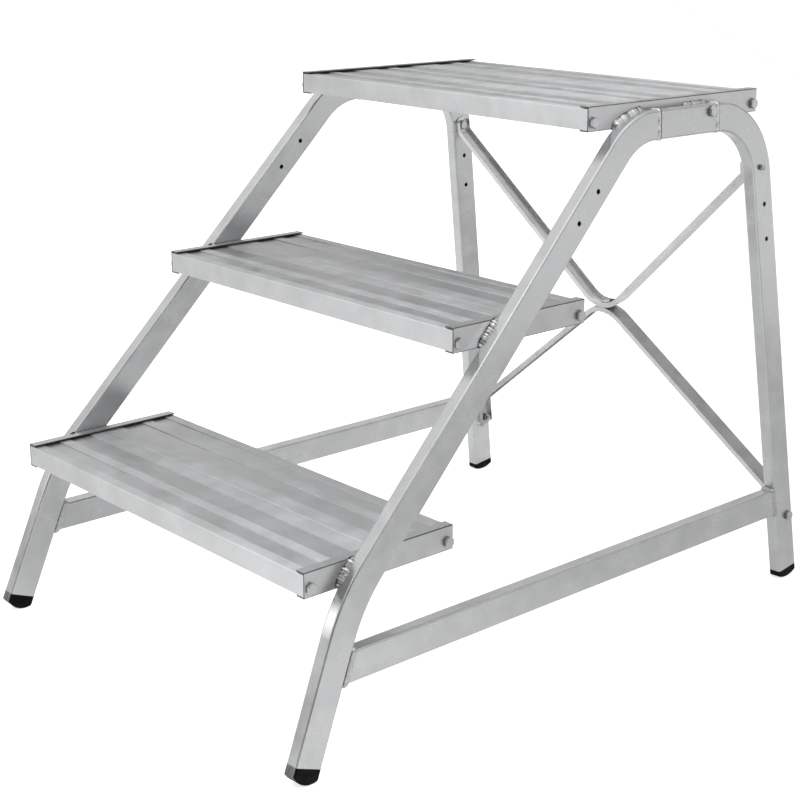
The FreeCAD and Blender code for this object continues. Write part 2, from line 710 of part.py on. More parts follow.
def round_tab(sketch, across, up, edge, sign):
    """Rounds one corner of a brace's tab: the corner itself, outside a quarter circle."""
    corner = point(sketch, across, up)
    inward = "%s - %stab_round" % (across, edge)
    downward = "%s - %stab_round" % (up, sign)
    beside = point(sketch, inward, up)
    below = point(sketch, across, downward)
    centre = FreeCAD.Vector(beside.x, below.y, 0)
    radius = size("tab_round")
    first = sketch.addGeometry(Part.LineSegment(below, corner), False)
    second = sketch.addGeometry(Part.LineSegment(corner, beside), False)
    angles = sorted(math.atan2(p.y - centre.y, p.x - centre.x) for p in (below, beside))
    if angles[1] - angles[0] > math.pi:
        angles = [angles[1], angles[0] + 2 * math.pi]
    arc = Part.ArcOfCircle(Part.Circle(centre, FreeCAD.Vector(0, 0, 1), radius), *angles)
    third = sketch.addGeometry(arc, False)
    starts_below = (arc.StartPoint - below).Length < (arc.EndPoint - below).Length
    sketch.addConstraint(Sketcher.Constraint("Coincident", first, 2, second, 1))
    sketch.addConstraint(Sketcher.Constraint("Coincident", third, 1 if starts_below else 2, first, 1))
    sketch.addConstraint(Sketcher.Constraint("Coincident", third, 2 if starts_below else 1, second, 2))
    tie_point(sketch, first, 2, across, up)
    tie_point(sketch, first, 1, across, downward)
    tie_point(sketch, second, 2, inward, up)
    tie(sketch, "tab_round", "Radius", third)


def bolt(length, place):
    """Hexagon bolt: head above its seat at the origin, shank below it, axis along Z."""
    head = doc.addObject("Part::Prism", "Head")
    head.Polygon = 6
    head.setExpression("Circumradius", formula("head_width / 2 / cos(30deg)"))
    head.setExpression("Height", formula("head_height"))
    shank = doc.addObject("Part::Cylinder", "Shank")
    shank.setExpression("Radius", formula("bolt_diameter / 2"))
    shank.setExpression("Height", formula(length))
    shank.setExpression("Placement.Base.z", formula("-(%s)" % length))
    whole = doc.addObject("Part::Fuse", "Bolt")
    whole.Base = head
    whole.Tool = shank
    whole.Placement = place
    return whole


def nut(place):
    """Hexagon nut above its seat at the origin, axis along Z."""
    block = doc.addObject("Part::Prism", "NutBlock")
    block.Polygon = 6
    block.setExpression("Circumradius", formula("head_width / 2 / cos(30deg)"))
    block.setExpression("Height", formula("nut_height"))
    bore = doc.addObject("Part::Cylinder", "NutBore")
    bore.setExpression("Radius", formula("port_radius"))
    bore.setExpression("Height", formula("nut_height"))
    whole = doc.addObject("Part::Cut", "Nut")
    whole.Base = block
    whole.Tool = bore
    whole.Placement = place
    return whole


def group(label, pieces):
    """Like fasteners, or the welds of one frame, as one node of separate solids."""
    compound = doc.addObject("Part::Compound", label)
    compound.Label = label
    compound.Links = pieces
    return compound


def outward(side):
    """Turns an axis along Z to point out of the step's side."""
    return FreeCAD.Rotation(FreeCAD.Vector(0, 1, 0), side * 90)


def tread_bolts():
    """Bolts through the channels' webs into the planks, and the long ones through the top rails."""
    short_bolts = []
    long_bolts = []
    for name, below, rows in STEPS:
        for across in bolt_places(len(rows)):
            base = step_corner(name, 0)
            base.y += evaluate(sheet, across)
            base.z += size("channel_height") - size("port_drop")
            through_rail = name == "platform" and across == rail_bolt_place()
            seat = size("rail_bolt_seat" if through_rail else name + "_half")
            for side in (-1, 1):
                place = FreeCAD.Placement(FreeCAD.Vector(side * seat, base.y, base.z), outward(side))
                if through_rail:
                    long_bolts.append(bolt("rail_bolt_length", place))
                else:
                    short_bolts.append(bolt("tread_bolt_length", place))
    return group("tread_bolts", short_bolts), group("platform_rail_bolts", long_bolts)


def brace_fasteners():
    """Bolts that hold the brace to the rear legs, with their heads inside above and outside below."""
    heads_inside = []
    heads_outside = []
    nuts = []
    half_depth = size("tube_depth") / 2
    tab_face = half_depth + size("brace_seat") + size("brace_wall") + size("head_gap")
    length = "tube_depth + brace_seat + brace_wall + head_gap + brace_bolt_spare"
    for side in (-1, 1):
        inside = FreeCAD.Placement(FreeCAD.Vector(-side * tab_face, 0, 0), outward(-side))
        outside = FreeCAD.Placement(FreeCAD.Vector(side * half_depth, 0, 0), outward(side))
        upper = frame_place(side, size("rail_length") + size("upper_bolt_reach"), size("upper_bolt_drop"))
        lower = frame_place(side, size("rail_length") + size("lower_bolt_reach"), size("lower_bolt_drop"))
        heads_inside.append(bolt(length, upper.multiply(inside)))
        heads_outside.append(bolt(length + " + nut_height", lower.multiply(outside)))
        nuts.append(nut(lower.multiply(inside)))
    turn = FreeCAD.Rotation(FreeCAD.Vector(1, 0, 0), size("brace_tilt"))
    middle = FreeCAD.Vector(0, size("rear_joint") + size("brace_reach"), size("brace_height"))
    rise = turn.multVec(FreeCAD.Vector(0, 0, size("centre_seat")))
    under = turn.multiply(FreeCAD.Rotation(FreeCAD.Vector(1, 0, 0), 180))
    centre_bolt = bolt("2 * centre_seat + nut_height + brace_bolt_spare", FreeCAD.Placement(middle + rise, turn))
    centre_nut = nut(FreeCAD.Placement(middle - rise, under))
    return (group("upper_brace_bolts", heads_inside), group("lower_brace_bolts", heads_outside),
            group("lower_brace_nuts", nuts), group("brace_centre_bolt", [centre_bolt]),
            group("brace_centre_nut", [centre_nut]))


def stile_bead(side):
    """A bead along the whole front edge of a stile, on the side of the steps."""
    body = new_body("stile_bead")
    face = "tube_depth / 2"
    near, far = "-(%s) - weld_leg" % face, "-(%s) + weld_leg" % face
    if side < 0:
        near, far = "(%s) + weld_leg" % face, "(%s) - weld_leg" % face
    profile = new_sketch(body, "XZ_Plane")
    outline(profile, ((near, "tube_width / 2"), (far, "tube_width / 2"), (near, "tube_width / 2 + 2 * weld_leg")))
    sweep(body, profile, stile_course(body))
    body.Placement = frame_place(side, 0, 0)
    return body


def web_bead(bead, name, side):
    """The part of a stile's bead that lies on the web of one end channel."""
    box = doc.addObject("Part::Box", "WebFront")
    box.setExpression("Length", formula("bead_reach"))
    box.setExpression("Height", formula("channel_height"))
    box.setExpression("Width", formula("rail_start - 2 * weld_ring_width"))
    half = size(name + "_half")
    left = half if side > 0 else -half - size("bead_reach")
    box.Placement = FreeCAD.Placement(step_corner(name, left), FreeCAD.Rotation())
    shared = doc.addObject("Part::Common", "WebBead")
    shared.Base = bead
    shared.Tool = box
    return shared


def rail_bead(side):
    """A bead on top of the top rail, against the platform's web, next to the rear joint."""
    bead = doc.addObject("Part::Cylinder", "RailBead")
    bead.setExpression("Radius", formula("rail_weld"))
    bead.setExpression("Height", formula("rail_weld_length"))
    bead.setExpression("Angle", formula("(90 - splay_angle) * 1deg"))
    along = FreeCAD.Rotation(FreeCAD.Vector(1, 0, 0), 90)
    if side > 0:
        start = FreeCAD.Rotation(FreeCAD.Vector(0, 1, 0), -size("splay_angle"))
    else:
        start = FreeCAD.Rotation(FreeCAD.Vector(0, 1, 0), -90)
    rear = size("rear_joint") - size("weld_ring_width")
    rise = size("rail_height") + evaluate(bead, "tube_width / 2 * cos(splay_angle * 1deg)"
                                                " - tube_depth / 2 * sin(splay_angle * 1deg)")
    base = FreeCAD.Vector(side * size("platform_half"), rear, rise)
    bead.Placement = FreeCAD.Placement(base, start.multiply(along))
    return bead


def joint_ring(side, reach):
    """A bead round a butt joint of the top rail, open where the platform's web stands."""
    body = new_body("joint_ring")
    sketch = new_sketch(body, "XZ_Plane")
    rounded_rectangle(sketch, "tube_depth + 2 * weld_ring", "tube_width + 2 * weld_ring",
                      "tube_corner + weld_ring")
    rounded_rectangle(sketch, "tube_depth", "tube_width", "tube_corner")
    pad(body, sketch, "weld_ring_width", side="Symmetric")
    body.Placement = frame_place(side, reach, 0)
    box = doc.addObject("Part::Box", "WebRoom")
    box.setExpression("Length", formula("platform_half"))
    box.setExpression("Width", formula("2 * weld_ring_width"))
    box.setExpression("Height", formula("channel_height + weld_ring"))
    base = FreeCAD.Vector(0 if side > 0 else -size("platform_half"), body.Placement.Base.y,
                          size("platform_height") - size("channel_height") - size("weld_ring"))
    base.y -= size("weld_ring_width")
    box.Placement = FreeCAD.Placement(base, FreeCAD.Rotation())
    ring = doc.addObject("Part::Cut", "JointRing")
    ring.Base = body
    ring.Tool = box
    return ring


def strut_beads(side):
    """Beads over and under both ends of a lower strut, filling the corners with the legs."""
    beads = []
    half = size("tube_width") / 2
    front = -size("strut_front")
    rear = size("rail_length") + size("strut_rear")
    corners = ((front + size("front_cope"), -half, "90 - front_lean", 0),
               (front - size("front_cope"), half, "90 + front_lean", -90 - size("front_lean")),
               (rear - size("rear_cope"), -half, "90 - rear_lean", 90 + size("rear_lean")),
               (rear + size("rear_cope"), half, "90 + rear_lean", 180))
    for reach, drop, angle, start in corners:
        bead = doc.addObject("Part::Cylinder", "StrutBead")
        bead.setExpression("Radius", formula("strut_weld"))
        bead.setExpression("Height", formula("tube_depth - 2 * tube_corner"))
        bead.setExpression("Angle", formula("(%s) * 1deg" % angle))
        place = frame_place(side, reach, size("strut_drop") + drop)
        across = FreeCAD.Rotation(FreeCAD.Vector(1, 1, 1), 120)
        turn = FreeCAD.Rotation(FreeCAD.Vector(0, 0, 1), start)
        shift = FreeCAD.Vector(-size("tube_depth") / 2 + size("tube_corner"), 0, 0)
        bead.Placement = place.multiply(FreeCAD.Placement(shift, across.multiply(turn)))
        beads.append(bead)
    return beads


def frame_welds(label, side):
    edge = stile_bead(side)
    beads = [web_bead(edge, name, side) for name, below, rows in STEPS]
    beads += [joint_ring(side, 0), joint_ring(side, size("rail_length")), rail_bead(side)]
    return group(label, beads + strut_beads(side))


def build():
    pieces = []
    for hand, side in (("left", -1), ("right", 1)):
        pieces.append(front_stile(hand + "_front_stile", side))
        pieces.append(top_rail(hand + "_top_rail", side))
        pieces.append(rear_leg(hand + "_rear_leg", side))
        pieces.append(lower_strut(hand + "_lower_strut", side))
        reach = -size("front_end_reach")
        pieces.append(foot(hand + "_front_foot", "front", side, reach, -size("front_lean")))
        reach = size("rail_length") + size("rear_end_reach")
        pieces.append(foot(hand + "_rear_foot", "rear", side, reach, size("rear_lean")))
        for name, below, rows in STEPS:
            pieces.append(end_channel("%s_%s_channel" % (name, hand), name, len(rows), side))
        pieces.append(frame_welds(hand + "_frame_welds", side))
    for name, below, rows in STEPS:
        for position, row in enumerate(rows):
            pieces.append(plank("%s_%s_plank" % (name, row), name, position, row == "rear"))
    pieces.append(brace("upper_brace", True))
    pieces.append(brace("lower_brace", False))
    pieces.extend(tread_bolts())
    pieces.extend(brace_fasteners())
    return pieces


def check(pieces):
    for item in doc.Objects:
        if "Invalid" in item.State or "Error" in item.State:
            raise RuntimeError("%s (%s) failed" % (item.Name, item.Label))
    for piece in pieces:
        if piece.Shape.isNull() or not piece.Shape.isValid():
            raise RuntimeError("%s has no valid shape" % piece.Label)


fill_sheet()
parts = build()
doc.recompute()
check(parts)
os.makedirs("parts", exist_ok=True)
for part in parts:
    part.Shape.exportStep("parts/%s.step" % part.Label)
    print("%-28s %2d solids %12.1f mm3" % (part.Label, len(part.Shape.Solids), part.Shape.Volume))
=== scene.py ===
import math
import random

import bmesh
import bpy
from mathutils import Matrix, Vector


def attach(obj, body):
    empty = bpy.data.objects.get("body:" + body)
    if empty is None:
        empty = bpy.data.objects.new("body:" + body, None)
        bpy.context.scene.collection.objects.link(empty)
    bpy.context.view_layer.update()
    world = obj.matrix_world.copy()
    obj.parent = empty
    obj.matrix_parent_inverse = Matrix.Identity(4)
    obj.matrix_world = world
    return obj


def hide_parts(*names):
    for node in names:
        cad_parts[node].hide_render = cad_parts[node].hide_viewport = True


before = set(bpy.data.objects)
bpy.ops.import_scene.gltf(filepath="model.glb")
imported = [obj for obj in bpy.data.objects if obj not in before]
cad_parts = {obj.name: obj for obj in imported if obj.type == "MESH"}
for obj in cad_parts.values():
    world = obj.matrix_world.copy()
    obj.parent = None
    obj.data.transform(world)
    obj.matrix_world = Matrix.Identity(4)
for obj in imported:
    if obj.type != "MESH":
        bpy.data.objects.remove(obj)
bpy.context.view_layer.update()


# Side frames: rectangular aluminium tube, 40 x 20 mm, bent cold and left as it came from the mill.
# The drawn surface is satin, with faint lines along each tube and soft clouds from handling.
def feed(tree, value, socket):
    """Links a socket to another node's output, or gives it a constant."""
    if isinstance(value, bpy.types.NodeSocket):
        tree.links.new(value, socket)
    else:
        socket.default_value = value


def object_place(tree):
    """Where a point of the surface lies on its object."""
    return tree.nodes.new("ShaderNodeTexCoord").outputs["Object"]


def surface_normal(tree):
    """The way a surface faces."""
    return tree.nodes.new("ShaderNodeNewGeometry").outputs["Normal"]


def axes(tree, vector):
    """The parts of a vector, by the names X, Y and Z."""
    node = tree.nodes.new("ShaderNodeSeparateXYZ")
    feed(tree, vector, node.inputs["Vector"])
    return node.outputs


def calc(tree, operation, *values):
    """A math node's result, from numbers and other nodes' outputs."""
    node = tree.nodes.new("ShaderNodeMath")
    node.operation = operation
    for value, socket in zip(values, node.inputs):
        feed(tree, value, socket)
    return node.outputs["Value"]


def rescale(tree, value, start, end, low=0.0, high=1.0):
    """Takes the range from start to end to the range from low to high, and clamps what lies outside."""
    node = tree.nodes.new("ShaderNodeMapRange")
    feed(tree, value, node.inputs["Value"])
    for name, number in (("From Min", start), ("From Max", end), ("To Min", low), ("To Max", high)):
        node.inputs[name].default_value = number
    return node.outputs["Result"]


def mix(tree, kind, amount, first, second, blend="MIX"):
    """Blends two numbers or colours by an amount."""
    node = tree.nodes.new("ShaderNodeMix")
    node.data_type = kind
    node.blend_type = blend
    for name, value in (("Factor", amount), ("A", first), ("B", second)):
        feed(tree, value, node.inputs[name])
    return node.outputs["Result"]


def ramp(tree, value, *marks):
    """Colours a value by marks, which are positions and colours in order."""
    node = tree.nodes.new("ShaderNodeValToRGB")
    feed(tree, value, node.inputs["Fac"])
    elements = node.color_ramp.elements
    for number, (position, colour) in enumerate((marks[0], marks[-1])):
        elements[number].position = position
        elements[number].color = (*colour, 1.0)
    for position, colour in marks[1:-1]:
        elements.new(position).color = (*colour, 1.0)
    return node.outputs["Color"]


def noise(tree, place, scale, detail, roughness=0.5, distortion=0.0):
    """Fractal noise over a place."""
    node = tree.nodes.new("ShaderNodeTexNoise")
    feed(tree, place, node.inputs["Vector"])
    node.inputs["Scale"].default_value = scale
    node.inputs["Detail"].default_value = detail
    node.inputs["Roughness"].default_value = roughness
    node.inputs["Distortion"].default_value = distortion
    return node.outputs["Fac"]


def relief(tree, height, strength, depth, edge=0.0, samples=4):
    """Bumps a shader's surface by a height, and rounds its edges where a radius is given."""
    node = tree.nodes.new("ShaderNodeBump")
    node.inputs["Strength"].default_value = strength
    node.inputs["Distance"].default_value = depth
    feed(tree, height, node.inputs["Height"])
    if edge:
        worn = tree.nodes.new("ShaderNodeBevel")
        worn.samples = samples
        worn.inputs["Radius"].default_value = edge
        feed(tree, worn.outputs["Normal"], node.inputs["Normal"])
    feed(tree, node.outputs["Normal"], tree.nodes["Principled BSDF"].inputs["Normal"])


def tint(tree, amount, gain):
    """Multiplies what a shader has as its base colour by a gain, by an amount."""
    socket = tree.nodes["Principled BSDF"].inputs["Base Color"]
    before = socket.links[0].from_socket
    feed(tree, mix(tree, "RGBA", amount, before, (gain, gain, gain, 1.0), "MULTIPLY"), socket)


def new_material(name):
    """A plain material, its node tree and its shader's inputs."""
    material = bpy.data.materials.new(name)
    material.use_nodes = True
    tree = material.node_tree
    return material, tree, tree.nodes["Principled BSDF"].inputs


line_width = 0.0014
line_share = 0.18
corner_shade_grey = (0.03, 0.03, 0.031, 1.0)


def drawn_metal(name, colour, along, streak=0.35, rough=(0.2, 0.3), edge=0.0003, comb=0.00008,
                pocket=0.006, corner_shade_range=(0.08, 0.45), metal=0.82):
    """Satin metal under a thin oxide: fine lines along a direction, lighter and duller clouds, painted shade in
    corners.
    """
    material, tree, shader = new_material(name)
    shader["Metallic"].default_value = metal
    place = object_place(tree)
    turn = tree.nodes.new("ShaderNodeMapping")
    turn.vector_type = "TEXTURE"
    turn.inputs["Rotation"].default_value = Vector(along).to_track_quat("X", "Z").to_euler()
    turn.inputs["Scale"].default_value = (streak, line_width, line_width)
    feed(tree, place, turn.inputs["Vector"])
    lines = noise(tree, turn.outputs["Vector"], 1.0, 3.0, roughness=0.55)
    clouds = noise(tree, place, 26.0, 3.0, distortion=0.3)
    grain = mix(tree, "FLOAT", line_share, clouds, lines)
    darker = [value * 0.91 for value in colour]
    lighter = [min(1.0, value * 1.05) for value in colour]
    tone = ramp(tree, grain, (0.35, darker), (0.65, lighter))
    # Painted shade: the base colour turns dark grey where ambient occlusion finds a corner within the pocket's
    # reach.
    occlusion = tree.nodes.new("ShaderNodeAmbientOcclusion")
    occlusion.samples = 6
    occlusion.inputs["Distance"].default_value = pocket
    unshaded = rescale(tree, occlusion.outputs["AO"], *corner_shade_range, low=0.1)
    feed(tree, mix(tree, "RGBA", unshaded, corner_shade_grey, tone), shader["Base Color"])
    feed(tree, rescale(tree, grain, 0.32, 0.68, *rough), shader["Roughness"])
    relief(tree, lines, 0.25, comb, edge, samples=6)
    return material


def finish_nodes(material, *names):
    """Gives CAD nodes one material all over."""
    for name in names:
        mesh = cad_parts[name].data
        mesh.materials.clear()
        mesh.materials.append(material)


tube_grey = (0.62, 0.625, 0.632)
tube_width, tube_depth, tube_corner = 0.040, 0.020, 0.003
stile_slope = math.radians(45.7)
front_lean = math.radians(22)
rear_lean = math.radians(8)
splay = math.radians(2.4)
stile_metal = drawn_metal("stile_tube", tube_grey, (0, math.cos(stile_slope), math.sin(stile_slope)))
leg_metal = drawn_metal("leg_tube", tube_grey, (0, -math.sin(rear_lean), math.cos(rear_lean)))
level_metal = drawn_metal("level_tube", tube_grey, (0, 1, 0))
for hand in ("left", "right"):
    finish_nodes(stile_metal, hand + "_front_stile")
    finish_nodes(leg_metal, hand + "_rear_leg")
    finish_nodes(level_metal, hand + "_top_rail", hand + "_lower_strut")


# Treads: extruded planks with two shallow grooves each, and a folded channel across both ends.
# The die leaves long fine lines; the ribs are dulled by feet and carry painted light that grows to the right, the
# grooves' walls carry a painted highlight, and the channels' edges carry painted shade.
rise_between = 0.25
wall_level, groove_level, rib_level = 0.2484, 0.2488, 0.2494


def dull_and_light_ribs(material, extra_rough, rib_light_gain, wall_light_gain):
    """Roughens the ribs of every tread, paints light on it that grows to the right, fully on its ribs and in part in
    its grooves, and paints a highlight on the grooves' walls.
    """
    tree = material.node_tree
    shader = tree.nodes["Principled BSDF"].inputs
    place = axes(tree, object_place(tree))
    above = calc(tree, "MODULO", place["Z"], rise_between)
    rib = rescale(tree, above, groove_level, rib_level)
    rough = shader["Roughness"].links[0].from_socket
    feed(tree, calc(tree, "MULTIPLY_ADD", rib, extra_rough, rough), shader["Roughness"])
    # Painted light: the ribs, and the grooves less, turn paler towards the right.
    rib_light_share = rescale(tree, rib, 0.0, 1.0, low=0.4)
    to_right = rescale(tree, place["X"], -0.2, 0.25)
    tint(tree, calc(tree, "MULTIPLY", rib_light_share, to_right), rib_light_gain)
    # Painted highlight: steep faces near the tread's top, the grooves' walls, are made paler.
    steep = calc(tree, "ABSOLUTE", axes(tree, surface_normal(tree))["Y"])
    wall = rescale(tree, steep, 0.1, 0.5)
    high = calc(tree, "GREATER_THAN", above, wall_level)
    tint(tree, calc(tree, "MULTIPLY", wall, high), wall_light_gain)


def shade_channel_edges(material, gain):
    """Paints shade on a channel along its folds, on its sawn ends and on the edges that its flanges turn inwards,
    picked by the way each face looks.
    """
    tree = material.node_tree
    facing = axes(tree, surface_normal(tree))
    turned = calc(tree, "ABSOLUTE", calc(tree, "MULTIPLY", facing["X"], facing["Z"]))
    fold = rescale(tree, turned, 0.12, 0.35)
    sawn = rescale(tree, calc(tree, "ABSOLUTE", facing["Y"]), 0.6, 0.9)
    away = calc(tree, "MULTIPLY", axes(tree, object_place(tree))["X"], facing["X"])
    inward = rescale(tree, away, -0.1, -0.2)
    # Painted shade: folds, sawn ends and inward flange edges, picked by the way they face, are darkened.
    tint(tree, calc(tree, "MAXIMUM", calc(tree, "MAXIMUM", sawn, inward), fold), gain)


plank_metal = drawn_metal("tread_plank", (0.635, 0.64, 0.647), (1, 0, 0), streak=0.6, rough=(0.3, 0.4),
                          edge=0.00005, pocket=0.002)
glare = 0.68
plank_shader = plank_metal.node_tree.nodes["Principled BSDF"]
plank_shader.inputs["Specular Tint"].default_value = (glare, glare, glare, 1.0)
dull_and_light_ribs(plank_metal, extra_rough=0.14, rib_light_gain=1.3, wall_light_gain=1.12)
channel_metal = drawn_metal("end_channel", tube_grey, (0, 1, 0), rough=(0.26, 0.36))
shade_channel_edges(channel_metal, gain=0.2)
plank_rows = {"lower_step": ("front", "rear"), "middle_step": ("front", "rear"),
              "platform": ("front", "middle", "rear")}
for step, rows in plank_rows.items():
    for row in rows:
        finish_nodes(plank_metal, "%s_%s_plank" % (step, row))
    finish_nodes(channel_metal, step + "_left_channel", step + "_right_channel")


# Welds: hand-laid aluminium beads where the stiles meet the channels' webs, round the butt joints
# of the top rails and round the struts' ends. Ripples lie a few millimetres apart, with soot and painted shade along
# the toes and between them.
rail_middle = Vector((0.307847, 0.156652, 0.722))
rail_length = 0.123
bend_straight, bend_edge, lower_bend_edge = 0.005, 0.120, 0.250
slope_length = 0.6341
strut_front, strut_rear, strut_drop = -0.5615, 0.2784, 0.5955
web_leg, rail_leg = 0.0065, 0.0045
joint_reach, joint_height = 0.0034, 0.0016
strut_reach, strut_height, strut_fill, strut_set = 0.0046, 0.0012, 0.0030, 0.0026
rail_bead_start, rail_bead_end = rail_length - 0.054, rail_length - 0.006
joint_start, joint_end = 0.003, 0.092
fillet_cut = (0.27, 0.1)
band_cut = (-1.0, -0.4)
ripple_pitch, bead_step = 0.0064, 0.0008
bead_dice = random.Random(41)


def side_place(side):
    """Where a side frame stands: its own X across the tube, Y along the top rail, Z up the frame."""
    base = Vector((side * rail_middle.x, rail_middle.y, rail_middle.z))
    return Matrix.Translation(base) @ Matrix.Rotation(-side * splay, 4, "Y")


def stile_edge(run):
    """A point of a stile's front face and the way it faces, by the length run from the front joint."""
    bend_length = bend_edge * stile_slope
    top = Vector((0, -bend_straight, tube_width / 2))
    centre = top - Vector((0, 0, bend_edge))
    angle = min(stile_slope, max(0.0, run - bend_straight) / bend_edge)
    facing = Vector((0, -math.sin(angle), math.cos(angle)))
    place = centre + facing * bend_edge
    down = run - bend_straight - bend_length
    if down > 0:
        place += Vector((0, -math.cos(angle), -math.sin(angle))) * min(down, slope_length)
    if down > slope_length:
        centre = place - facing * lower_bend_edge
        angle += (down - slope_length) / lower_bend_edge
        facing = Vector((0, -math.sin(angle), math.cos(angle)))
        place = centre + facing * lower_bend_edge
    return place, facing


def tube_rim(run):
    """A point of a tube's section and the way it faces, from the middle of the inner face downwards."""
    flat_x = tube_depth / 2 - tube_corner
    flat_z = tube_width / 2 - tube_corner
    turn = math.pi / 2 * tube_corner
    corners = ((-flat_x, -flat_z, 180), (flat_x, -flat_z, 270), (flat_x, flat_z, 0), (-flat_x, flat_z, 90))
    straights = (flat_z, 2 * flat_x, 2 * flat_z, 2 * flat_x, flat_z)
    for (x, z, start), straight in zip(corners, straights):
        if run <= straight + turn:
            angle = math.radians(start) + max(0.0, run - straight) / tube_corner
            facing = Vector((math.cos(angle), 0, math.sin(angle)))
            along = Vector((-math.sin(angle), 0, math.cos(angle)))
            return Vector((x, 0, z)) + facing * tube_corner - along * max(0.0, straight - run), facing
        run -= straight + turn
    return Vector((-flat_x - tube_corner, 0, flat_z - run)), Vector((-1, 0, 0))


def bead_station(centre, across, out, lean):
    """Takes a unit ring to a station of a bead; lean pushes its crown along the bead."""
    forward = across.cross(out).normalized()
    station = Matrix((across + forward * lean, out + forward * lean, forward)).transposed().to_4x4()
    station.translation = centre
    return station


def fillet_station(occlusion, across, out, lean):
    """A station of a bead that fills a corner: its ring is larger and sits deeper, so the bead is nearly flat."""
    depth, swell = 0.6, 1.7
    return bead_station(occlusion - (across + out) * depth, across * swell, out * swell, lean)


def drop(run, length, taper):
    """How full a bead is at a length run along it, and how dark: drops of uneven length, with soot and painted shade
    between them and towards the ends.
    """
    count = run / ripple_pitch + 0.5 * math.sin(run * 240) + 0.25 * math.sin(run * 570 + 1.3)
    crest = abs(math.sin(math.pi * count))
    full = 0.92 + 0.08 * math.sqrt(crest) + 0.06 * math.sin(run * 330 + 0.7) + bead_dice.uniform(-0.02, 0.02)
    from_end = min(1.0, min(run, length - run) / taper)
    # Soot and painted shade: darkest between the drops and near the ends, varied at random.
    soot_and_shade = 0.5 * (1 - crest) ** 2 + 0.35 * (1 - from_end) + bead_dice.uniform(-0.22, 0.22)
    return full * max(0.3, math.sqrt(from_end)), soot_and_shade


def lay_bead(shape, stations, cut, closed=False):
    """A bead: one ring for each station, extruded from the last and cut flat towards what it joins.

    A station has its place, the soot and painted shade all over, the soot and painted shade along the toe and how
    far up that reaches."""
    side_cut, foot_cut = cut
    soot_and_shade = shape.verts.layers.float["soot_and_shade"]
    ring = bmesh.ops.create_circle(shape, cap_ends=False, radius=1.0, segments=18)["verts"]
    for vert in ring:
        vert.co.x = max(vert.co.x, side_cut)
        vert.co.y = max(vert.co.y, foot_cut)
    edges = list({edge for vert in ring for edge in vert.link_edges})
    first_edges = edges
    before = Matrix.Identity(4)
    for number, (station, smut_and_shade, toe_soot_and_shade, reach) in enumerate(stations):
        if number:
            grown = bmesh.ops.extrude_edge_only(shape, edges=edges)["geom"]
            ring = [item for item in grown if isinstance(item, bmesh.types.BMVert)]
            edges = [item for item in grown if isinstance(item, bmesh.types.BMEdge)]
        back = before.inverted()
        for vert in ring:
            # Painted shade with soot: darkest at the toe, where the bead meets what it joins.
            toe = 1.0 - min(1.0, ((back @ vert.co).x - side_cut) / reach)
            vert[soot_and_shade] = max(0.0, toe_soot_and_shade * toe + smut_and_shade)
        bmesh.ops.transform(shape, matrix=station @ back, verts=ring)
        before = station
    if closed:
        bmesh.ops.bridge_loops(shape, edges=first_edges + edges)
    else:
        bmesh.ops.contextual_create(shape, geom=first_edges)
        bmesh.ops.contextual_create(shape, geom=edges)


def lengths(start, end):
    """Evenly spaced lengths along a bead, from its start to its end."""
    count = max(2, round((end - start) / bead_step))
    return [start + (end - start) * number / count for number in range(count + 1)]


def web_bead(shape, side, web, start, end):
    """Bead in the corner between a channel's web and a stile's front face."""
    stations = []
    for run in lengths(start, end):
        place, facing = stile_edge(run)
        place.x = side * (web - rail_middle.x + place.z * math.sin(splay)) / math.cos(splay)
        full, smut_and_shade = drop(run - start, end - start, 0.009)
        leg = web_leg * full
        station = fillet_station(place, Vector((side * leg, 0, 0)), facing * leg, -side * 0.0016)
        # Soot and painted shade along the toe against the web.
        stations.append((side_place(side) @ station, smut_and_shade, 0.8, 0.3))
    lay_bead(shape, stations, fillet_cut)


def rail_bead(shape, side, web):
    """Bead on top of the top rail against the platform's web, short of the rear joint."""
    stations = []
    for run in lengths(rail_bead_start, rail_bead_end):
        full, smut_and_shade = drop(run - rail_bead_start, rail_bead_end - rail_bead_start, 0.004)
        leg = rail_leg * full
        place = Vector((side * (web - rail_middle.x + tube_width / 2 * math.sin(splay)), run, tube_width / 2))
        station = fillet_station(place, Vector((side * leg, 0, 0)), Vector((0, 0, leg)), -side * 0.001)
        # Soot and painted shade along the toe against the web.
        stations.append((side_place(side) @ station, smut_and_shade, 0.8, 0.3))
    lay_bead(shape, stations, fillet_cut)


def joint_bead(shape, side, reach, soot_and_shade):
    """Flat bead round a butt joint of the top rail, from under the web to its outer face; one edge carries a dark
    line of painted shadow, with soot.
    """
    stations = []
    for run in lengths(joint_start, joint_end):
        place, facing = tube_rim(run)
        full, smut_and_shade = drop(run - joint_start, joint_end - joint_start, 0.003)
        wander = 0.0004 * math.sin(run * 410) + bead_dice.uniform(-0.0002, 0.0002)
        place = Vector((side * place.x, reach + wander, place.z))
        facing.x *= side
        across = Vector((0, -joint_reach * (0.6 + 0.4 * full), 0))
        station = bead_station(place, across, facing * joint_height * full, 0.0004)
        # Painted shadow: a dark line along one edge of the band, where it meets the rail, mixed with soot.
        stations.append((side_place(side) @ station, 0.2 * smut_and_shade, soot_and_shade + 0.8 * smut_and_shade, 1.1))
    lay_bead(shape, stations, band_cut)


